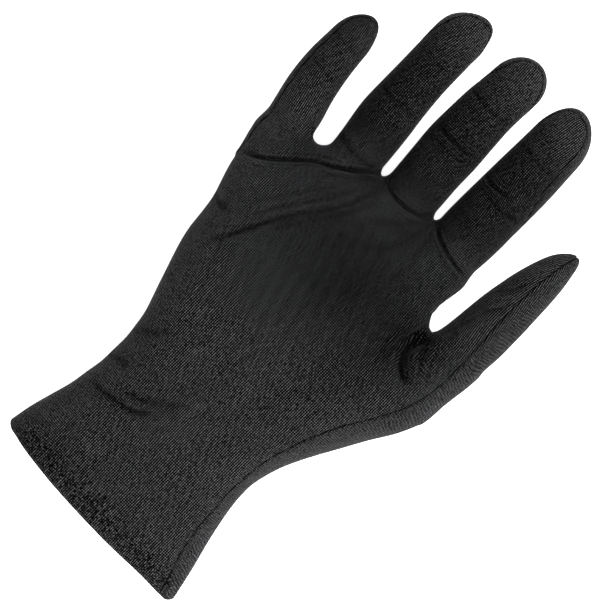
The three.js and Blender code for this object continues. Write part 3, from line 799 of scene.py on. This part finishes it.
def finger_cloth(finger):
    """The finger's cloth with its folds and seams pressed in, and its faces by row and column."""
    rows, points = worked_finger(finger)
    m, n = points.shape[:2]
    flat = points.reshape(-1, 3)
    number = np.arange(m * n).reshape(m, n)
    number[-1] = number[-1, 0]
    closed = number.copy()
    closed[:, -1] = closed[:, 0]
    faces, closed_faces = (
        np.stack([net[:-1, 1:], net[:-1, :-1], net[1:, :-1], net[1:, 1:]], axis=2) for net in (number, closed)
    )
    normals = point_normals(flat, closed_faces.reshape(-1, 4))
    half = (n - 1) // 2
    around = run_along(points)
    seam = sum(bell(around, around[:, [k]], SEAM_WIDTH) for k in (0, half, n - 1))
    height, fold, beside_fold = fold_height(flat, normals)
    height -= seam.ravel() * sizes().seam_depth / MM
    height[number[-1, 0]] = height.reshape(m, n)[-2].mean()
    flat = (flat + height[:, None] * normals)[closed.ravel()]
    normals = point_normals(flat, closed_faces.reshape(-1, 4))[closed.ravel()]
    flats = [
        np.stack([(around - around[:, [middle]]).ravel(), points[..., 1].ravel()], 1)
        for middle in (half // 2, half + half // 2)
    ]
    # fold holds the painted shade of the folds, the palm's middle, the webs and the fingers
    values = dict(
        seam=np.minimum(seam, 1).ravel(), gather=gathers(points.reshape(-1, 3)), fold=fold,
        beside_fold=beside_fold, cuff=np.ones(m * n),
    )
    return rows, faces, half, flats, dict(points=flat, normals=normals, values=values)


def make_finger(finger):
    """Cuts a finger's cloth into a pad and a back piece round each hinge."""
    rows, faces, half, flats, cloth = finger_cloth(finger)
    middles = (rows[:-1] + rows[1:]) / 2
    for i, segment in enumerate(finger.spec["segments"]):
        low, high = finger.borders[i], finger.borders[i + 1]
        band = faces[(middles > low) & (middles < high)]
        sides = (("pad", band[:, :half], flats[0]), ("back", band[:, half:], flats[1]))
        for name, part, cloth["uv"] in sides:
            node = f"{finger.name}_{segment}_{name}"
            thing = cloth_piece(f"{node}_jersey", cloth, part.reshape(-1, 4), [node])
            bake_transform(thing)


class GLOVE_OT_fingers(bpy.types.Operator):
    """Makes the pad and back pieces of the four fingers"""
    bl_idname = "glove.fingers"
    bl_label = "Fingers"

    def execute(self, context):
        for name, finger in fingers.items():
            if name != "thumb":
                make_finger(finger)
        return {"FINISHED"}


class GLOVE_OT_thumb(bpy.types.Operator):
    """Makes the pad and back pieces of the thumb"""
    bl_idname = "glove.thumb"
    bl_label = "Thumb"

    def execute(self, context):
        make_finger(fingers["thumb"])
        return {"FINISHED"}


# ---------------------------------------------------------------- the cuff

def seam_turns(y):
    """The turns round the cuff at which its two seams stand, from its own rounded-box section."""
    left, right, _, _ = section(HAND_STATIONS, y)
    share = (smooth_curve(y, THUMB_SEAM) - (left + right) / 2) / ((right - left) / 2)
    return np.arccos(np.clip(share, -1, 1) ** (HAND_POWER / 2)), np.full_like(y, math.pi)


def cuff_ring(share, height, panel):
    """Points of the cuff's skin: share runs from seam to seam across one panel, and height is how far
    they are from the cuff's own edge line. A point is the middle of the section plus its half width and
    half depth times signed powers of the turn's cosine and sine."""
    share, height = np.broadcast_arrays(share, height)
    y = np.full(share.shape, -87.0)
    for _ in range(6):
        seam, far = seam_turns(y)
        turn = seam + share * (far - seam) if panel == "palm" else far + share * (seam + 2 * math.pi - far)
        left, right, mid, deep = section(HAND_STATIONS, y)
        c, s = np.cos(turn), np.sin(turn)
        x = (left + right) / 2 + (right - left) / 2 * np.sign(c) * np.abs(c) ** (2 / HAND_POWER)
        z = mid + deep * np.sign(s) * np.abs(s) ** (2 / HAND_POWER)
        y = smooth_curve(x, CUFF_LINE) + height
    return np.stack([x, y, z], axis=-1)


def hem_cloth(panel):
    """The turned-in hem of one panel, as a profile carried along the cuff's edge: half a circle round the
    folded edge, then the inner layer, which follows the cuff's skin two fold radii further in."""
    fold = sizes().fold / MM
    share = np.linspace(0, 1, CUFF_COLUMNS)
    turn = np.linspace(0, math.pi, CUFF_TURNS)
    inner = fold + np.linspace(STEP, sizes().hem / MM, HEM_ROWS)
    base = cuff_ring(share, np.full(share.shape, fold), panel)
    normals = unit(slope(skin, base))
    along = np.gradient(base, axis=0)
    down = unit(np.cross(normals, unit(along)))
    down *= np.where(down[:, 1:2] > 0, -1, 1)
    press = fold_height(base, normals)[0][:, None] * normals
    edge = base + press + fold * (
        (np.cos(turn)[:, None, None] - 1) * normals + np.sin(turn)[:, None, None] * down
    )
    skin_points = cuff_ring(share[None], inner[:, None], panel)
    flat = skin_points.reshape(-1, 3)
    ways = unit(slope(skin, flat))
    layer = (flat + (fold_height(flat, ways)[0] - 2 * fold)[:, None] * ways).reshape(skin_points.shape)
    points = np.concatenate([edge, layer])
    m, n = points.shape[:2]
    number = np.arange(m * n).reshape(m, n)
    faces = np.stack([number[:-1, :-1], number[1:, :-1], number[1:, 1:], number[:-1, 1:]], axis=2)
    faces = faces.reshape(-1, 4)
    flat = points.reshape(-1, 3)
    if (point_normals(flat, faces).reshape(m, n, 3)[0] * normals).sum() < 0:
        faces = faces[:, (1, 0, 3, 2)]
    deep = np.concatenate([turn * fold, math.pi * fold + inner])
    uv = np.stack(np.broadcast_arrays(run_along(base)[None], -deep[:, None]), axis=-1).reshape(-1, 2)
    none = np.zeros(m * n)
    values = dict(seam=none, gather=gathers(flat), fold=none, beside_fold=none + 1, cuff=none)
    return dict(points=flat, normals=point_normals(flat, faces), uv=uv, values=values), faces


class GLOVE_OT_hem(bpy.types.Operator):
    """Makes the turned-in hem of the cuff, one piece for each panel"""
    bl_idname = "glove.hem"
    bl_label = "Cuff hem"

    def execute(self, context):
        for panel in ("palm", "back"):
            cloth, faces = hem_cloth(panel)
            thing = cloth_piece(f"{panel}_hem_jersey", cloth, faces, [f"{panel}_hem"])
            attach(thing, "hand")
        return {"FINISHED"}


# ---------------------------------------------------------------- sewing

def thread_tube(path, radius, sides=8):
    """A round thread carried along a path, closed by a point at each end."""
    way = unit(np.gradient(path, axis=0))
    side = unit(np.cross(way, np.array((0.13, 0.21, 1.0))))
    up = np.cross(way, side)
    turn = np.linspace(0, 2 * math.pi, sides, endpoint=False)
    rings = path[:, None] + radius * (
        np.cos(turn)[None, :, None] * side[:, None] + np.sin(turn)[None, :, None] * up[:, None]
    )
    m = len(path)
    points = np.concatenate([rings.reshape(-1, 3), path[:1], path[-1:]])
    number = np.arange(m * sides).reshape(m, sides)
    beside = np.roll(number, -1, axis=1)
    walls = np.stack([number[:-1], beside[:-1], beside[1:], number[1:]], axis=2).reshape(-1, 4)
    first, last = np.full(sides, m * sides), np.full(sides, m * sides + 1)
    start = np.stack([beside[0], number[0], first, first], axis=1)
    end = np.stack([number[-1], beside[-1], last, last], axis=1)
    faces = np.concatenate([walls, start, end])
    return points, faces


def make_thread(name, parts, nodes):
    """One piece from several thread tubes, which stands for the named nodes."""
    starts = np.cumsum([0] + [len(points) for points, _ in parts[:-1]])
    points = np.concatenate([points for points, _ in parts])
    faces = np.concatenate([faces + start for (_, faces), start in zip(parts, starts)])
    thing = make_mesh(name, points, faces)
    thing.data.materials.append(thread())
    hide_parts(*nodes)
    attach(thing, "hand")
    return thing


def along_seam(seam, low, high, step):
    """Points of the hand's skin along one side seam, one step apart, and their normals."""
    y = np.arange(low, high, step)
    left, _, mid, deep = section(HAND_STATIONS, y)
    across, level = smooth_curve(y, THUMB_SEAM), side_height(left, y)
    if seam == "thumb":
        points = np.stack([across, y, mid + deep + 2], axis=1)
    else:
        points = np.stack([left - 1, y, level], axis=1)

    def off_line(x, y, z):
        return x - across if seam == "thumb" else z - level

    points = onto(points, skin, off_line, rounds=14)
    return points, unit(slope(skin, points))


class GLOVE_OT_stitching(bpy.types.Operator):
    """Makes the overlock threads inside the side seams and the blind stitching of the hem"""
    bl_idname = "glove.stitching"
    bl_label = "Stitching"

    def execute(self, context):
        radius, wall, stitch, fold, edge = (
            getattr(sizes(), key) / MM for key in ("thread", "wall", "stitch", "fold", "hem")
        )
        for seam, (low, high) in SEAM_ENDS.items():
            points, normals = along_seam(seam, low, high, stitch / CHAIN_POINTS)
            way = unit(np.gradient(points, axis=0))
            side = np.cross(normals, way)
            beat = np.arange(len(points)) / CHAIN_POINTS * 2 * math.pi
            loops = [
                points - (wall + 1.5 * radius) * normals
                + (OVERLOCK_SWING * np.sin(beat + shift))[:, None] * side
                - (OVERLOCK_LIFT * (1 + np.cos(2 * beat + shift)))[:, None] * normals
                for shift in (0, math.pi)
            ]
            nodes = [f"{seam}_side_seam_thread"]
            make_thread(f"{seam}_seam_overlock", [thread_tube(path, radius, 6) for path in loops], nodes)
        parts = []
        for panel in ("palm", "back"):
            share = np.linspace(0, 1, 1201)
            around = run_along(cuff_ring(share, np.full(share.shape, edge), panel))
            places = np.arange(1.5, around[-1] - 1, stitch / CHAIN_POINTS)
            share = np.interp(places, around, share)
            beat = places / stitch * 2 * math.pi
            base = cuff_ring(share, edge + fold + BLIND_SWING * np.sin(beat), panel)
            normals = unit(slope(skin, base))
            height = fold_height(base, normals)[0] - 2 * fold - wall - radius * 0.6
            parts.append(thread_tube(base + height[:, None] * normals, radius, 6))
        make_thread("hem_blind_stitch", parts, ["hem_stitching"])
        return {"FINISHED"}


# ---------------------------------------------------------------- materials

def add_node(tree, kind, values=(), **settings):
    """Adds a node, sets its properties, and for each (socket, value) sets the socket or links to it. A value
    in the form (operation, a, b) is worked out by a Math node that is added in the same way, and a node
    stands for its first output."""
    node = tree.nodes.new(kind)
    for key, value in settings.items():
        setattr(node, key, value)
    for socket, value in dict(values).items():
        if isinstance(value, tuple) and isinstance(value[0], str):
            value = add_node(tree, "ShaderNodeMath", enumerate(value[1:]), operation=value[0])
        if isinstance(value, bpy.types.Node):
            value = value.outputs[0]
        if isinstance(value, bpy.types.NodeSocket):
            tree.links.new(value, node.inputs[socket])
        else:
            node.inputs[socket].default_value = value
    return node


def new_material(name):
    old = bpy.data.materials.get(name)
    if old:
        return old, None
    material = bpy.data.materials.new(name)
    material.use_nodes = True
    material.node_tree.nodes.clear()
    return material, material.node_tree


def jersey():
    """Polyester and elastane warp-knit jersey, dyed black: a matt black whose ridges run along the glove,
    each a row of loops that glint one by one over dark gaps, with a faint bloom at grazing edges."""
    material, tree = new_material("Warp-knit jersey")
    if tree is None:
        return material
    # A 28-gauge knit has ribs 0.62 mm and rows 0.46 mm apart; both are drawn coarser, to show. The
    # others are the swirls where ribs beat together, pleats beside a fold and ripples of gathered cloth
    rib, row, swirl, pleat, gathered, stitch = 0.8, 0.8, 2.4, 1.5, 1.3, sizes().stitch / MM
    uv = add_node(tree, "ShaderNodeUVMap", uv_map="Cloth")
    place = add_node(tree, "ShaderNodeTexCoord").outputs["Object"]
    across, along, _ = add_node(tree, "ShaderNodeSeparateXYZ", {0: uv}).outputs
    # The fold attribute holds painted shade: along the folds, over the palm's middle, the webs and the
    # fingers
    gather, seam, fold, beside_fold, cuff = (
        add_node(tree, "ShaderNodeAttribute", attribute_name=name).outputs["Fac"]
        for name in ("gather", "seam", "fold", "beside_fold", "cuff")
    )
    # Noises by the size of their blots in mm, each with its levels of finer detail
    noise = {
        size: add_node(tree, "ShaderNodeTexNoise", {
            "Vector": place, "Scale": 1 / (size * MM), "Detail": detail, "Roughness": 0.6,
        }).outputs["Fac"]
        for size, detail in ((0.7, 1), (1.6, 2), (4, 2), (6, 2), (7, 2), (13, 3), (14, 2), (24, 2))
    }

    def wave(at, period, extra=0.0):
        """A sine along at, in metres, with a period in mm, moved on by extra radians."""
        turns = ("MULTIPLY_ADD", at, 2 * math.pi / (period * MM), extra)
        return add_node(tree, "ShaderNodeMath", {0: turns}, operation="SINE")

    def band(at, middle, width):
        """1 where at is in the middle of a band, falling evenly to 0 at its edges, both as shares."""
        away = ("DIVIDE", ("ABSOLUTE", ("SUBTRACT", at, middle)), width)
        return add_node(tree, "ShaderNodeMath", {0: ("SUBTRACT", 1.0, away), 1: 0.0}, operation="MAXIMUM")

    hem = band(cuff, 0.25, 0.32)
    knit = add_node(tree, "ShaderNodeMath", {
        0: ("MULTIPLY", wave(across, rib, ("MULTIPLY", noise[14], 5.0)), 0.85),
        1: ("MULTIPLY", wave(along, row, ("MULTIPLY", noise[6], 5.0)), 0.38),
    }, operation="ADD")
    swirls = wave(("MULTIPLY_ADD", along, 0.5, across), swirl, ("MULTIPLY", noise[24], 26.0))
    speckle, blots = (
        add_node(tree, "ShaderNodeMath", {0: noise[size], 1: 0.5}, operation="SUBTRACT")
        for size in (0.7, 1.6)
    )
    slant = ("MULTIPLY_ADD", across, 900.0, ("MULTIPLY", noise[4], 10.0))
    pleats = wave(("MULTIPLY", beside_fold, PLEATS_REACH * MM), pleat, ("MULTIPLY", noise[7], 4.0))
    ripple = add_node(tree, "ShaderNodeMath", {
        0: ("MULTIPLY", wave(along, gathered, slant), gather),
        1: ("MULTIPLY", ("MULTIPLY", pleats, band(beside_fold, 0.12, 0.5)), 0.4),
    }, operation="ADD")
    stitches = add_node(tree, "ShaderNodeMath", {
        0: ("MAXIMUM", wave(across, stitch), 0.0), 1: band(cuff, 0.57, 0.05),
    }, operation="MULTIPLY")
    # How far each pattern lights the loops, and how far it raises them. The fold attribute's painted shade
    # takes glints away, and the ripples' share of the colour is painted light and shade, lighter on their
    # raised crests
    loops, height = -0.06, 0.0
    for pattern, light, rise in (
        (swirls, 0.1, 0), (fold, -0.5, 0), (knit, 1.0, 1.2), (("MULTIPLY", knit, hem), -0.4, 0),
        (speckle, 2.2, 1.5), (("MULTIPLY", speckle, hem), 1.6, 0), (blots, 0.4, 0),
        (("MULTIPLY", blots, hem), 0.9, 0), (ripple, 0.45, 2.2), (stitches, -0.3, -1.5),
    ):
        loops = ("MULTIPLY_ADD", pattern, light, loops)
        height = ("MULTIPLY_ADD", pattern, rise, height) if rise else height
    lit = ("POWER", ("MINIMUM", ("MAXIMUM", loops, 0.0), 1.0), 1.5)
    mixed = add_node(tree, "ShaderNodeMix", {
        0: lit, 6: colours().cloth, 7: colours().glint,
    }, data_type="RGBA")
    # Painted shade: deep in a seam and wherever the fold attribute holds painted shade, the colour is
    # darkened and the sheen is cut
    painted_shade = ("MAXIMUM", ("MULTIPLY", ("POWER", seam, 1.3), 0.97), ("MULTIPLY", fold, 0.45))
    unshaded_share = add_node(tree, "ShaderNodeMath", {0: 1.0, 1: painted_shade}, operation="SUBTRACT")
    cloudy = ("MULTIPLY_ADD", noise[13], 0.5, 0.75)
    toned = add_node(tree, "ShaderNodeVectorMath", {
        0: mixed.outputs[2], 3: ("MULTIPLY", cloudy, unshaded_share),
    }, operation="SCALE")
    bump = add_node(tree, "ShaderNodeBump", {"Height": height, "Strength": 0.6, "Distance": 0.00012})
    shader = add_node(tree, "ShaderNodeBsdfPrincipled", {
        "Base Color": toned, "Normal": bump, "Roughness": 0.72, "IOR": 1.5, "Specular IOR Level": 0.02,
        "Sheen Weight": ("MULTIPLY", unshaded_share, 0.085), "Sheen Roughness": 0.3, "Sheen Tint": srgb("#c9c9cf"),
    })
    add_node(tree, "ShaderNodeOutputMaterial", {"Surface": shader})
    return material


def thread():
    """Spun polyester sewing thread: three plies twisted together, which give it a fine slanting bump."""
    material, tree = new_material("Spun polyester thread")
    if tree is None:
        return material
    place = add_node(tree, "ShaderNodeTexCoord").outputs["Object"]
    ply, fuzz = 0.6, 0.3  # mm from one twist to the next, and from one stray fibre to the next
    bands = 20  # a wave texture's bands to each unit of its scale
    plies = add_node(tree, "ShaderNodeTexWave", {
        "Vector": place, "Scale": 1 / (ply * MM) / bands, "Distortion": 1.5,
    })
    fibres = add_node(tree, "ShaderNodeTexNoise", {"Vector": place, "Scale": 1 / (fuzz * MM)})
    height = ("ADD", plies.outputs["Fac"], fibres.outputs["Fac"])
    bump = add_node(tree, "ShaderNodeBump", {"Height": height, "Strength": 0.6, "Distance": 0.00008})
    shader = add_node(tree, "ShaderNodeBsdfPrincipled", {
        "Base Color": colours().thread, "Normal": bump, "Roughness": 0.6,
        "Sheen Weight": 0.2,
    })
    add_node(tree, "ShaderNodeOutputMaterial", {"Surface": shader})
    return material


def floor_paint():
    """Opal acrylic light table: an even white ground whose own glow leaves it almost free of shadow."""
    material, tree = new_material("Opal acrylic light table")
    if tree is None:
        return material
    place = add_node(tree, "ShaderNodeTexCoord").outputs["Object"]
    grain = add_node(tree, "ShaderNodeTexNoise", {"Vector": place, "Scale": 1 / (4 * MM)})
    bump = add_node(tree, "ShaderNodeBump", {
        "Height": grain.outputs["Fac"], "Strength": 0.02, "Distance": 0.0001,
    })
    shader = add_node(tree, "ShaderNodeBsdfPrincipled", {
        "Base Color": tuple(colours().floor), "Normal": bump.outputs["Normal"], "Roughness": 0.9,
        "Specular IOR Level": 0.1, "Emission Color": (1, 1, 1, 1), "Emission Strength": FLOOR_GLOW,
    })
    add_node(tree, "ShaderNodeOutputMaterial", {"Surface": shader.outputs[0]})
    return material


# ---------------------------------------------------------------- the stage

def area_light(name, place, target, size, power):
    lamp = bpy.data.lights.new(name, "AREA")
    lamp.shape, lamp.size, lamp.energy = "DISK", size, power
    thing = bpy.data.objects.new(name, lamp)
    bpy.context.scene.collection.objects.link(thing)
    way = np.array(target) - np.array(place)
    thing.location = place
    thing.rotation_euler = (
        math.acos(-way[2] / np.linalg.norm(way)), 0, math.atan2(way[1], way[0]) - math.pi / 2,
    )
    return thing


class GLOVE_OT_stage(bpy.types.Operator):
    """Makes the pale floor, the soft light and the camera above the palm"""
    bl_idname = "glove.stage"
    bl_label = "Stage"

    def execute(self, context):
        scene = context.scene
        corners = np.array([(-1, -1), (1, -1), (1, 1), (-1, 1)]) * FLOOR_HALF / MM
        points = np.column_stack([corners, np.full(4, -FLOOR_DROP / MM)])
        floor = make_mesh("floor", points, np.array([[0, 1, 2, 3]]))
        floor.data.materials.append(floor_paint())
        for name, place, size, power in LIGHTS:
            area_light(name, place, MIDDLE, size, power)
        world = bpy.data.worlds.new("Studio")
        world.use_nodes = True
        world.node_tree.nodes["Background"].inputs["Color"].default_value = (1, 1, 1, 1)
        world.node_tree.nodes["Background"].inputs["Strength"].default_value = WORLD_LIGHT
        scene.world = world
        camera = bpy.data.cameras.new("camera")
        camera.lens, camera.sensor_width = CAMERA_LENS, 36
        camera.clip_start, camera.clip_end = 0.01, 10
        thing = bpy.data.objects.new("camera", camera)
        scene.collection.objects.link(thing)
        thing.location = CAMERA_PLACE
        thing.rotation_euler = (0, 0, CAMERA_TURN)
        scene.camera = thing
        scene.view_settings.view_transform = "Standard"
        return {"FINISHED"}


# ---------------------------------------------------------------- the add-on

OPERATORS = (
    GLOVE_OT_hand, GLOVE_OT_fingers, GLOVE_OT_thumb, GLOVE_OT_hem, GLOVE_OT_stitching, GLOVE_OT_stage,
)


class GLOVE_PT_panel(bpy.types.Panel):
    bl_label = "Jersey glove"
    bl_space_type = "VIEW_3D"
    bl_region_type = "UI"
    bl_category = "Glove"

    def draw(self, context):
        for group in (context.scene.glove_sizes, context.scene.glove_colours):
            for key in group.__annotations__:
                self.layout.prop(group, key)
        for operator in OPERATORS:
            self.layout.operator(operator.bl_idname)


CLASSES = (GloveSizes, GloveColours, *OPERATORS, GLOVE_PT_panel)


def register():
    for item in CLASSES:
        bpy.utils.register_class(item)
    bpy.types.Scene.glove_sizes = PointerProperty(type=GloveSizes)
    bpy.types.Scene.glove_colours = PointerProperty(type=GloveColours)


def unregister():
    del bpy.types.Scene.glove_sizes
    del bpy.types.Scene.glove_colours
    for item in reversed(CLASSES):
        bpy.utils.unregister_class(item)


def main():
    register()
    for operator in OPERATORS:
        group, name = operator.bl_idname.split(".")
        getattr(getattr(bpy.ops, group), name)()


if __name__ == "__main__":
    main()
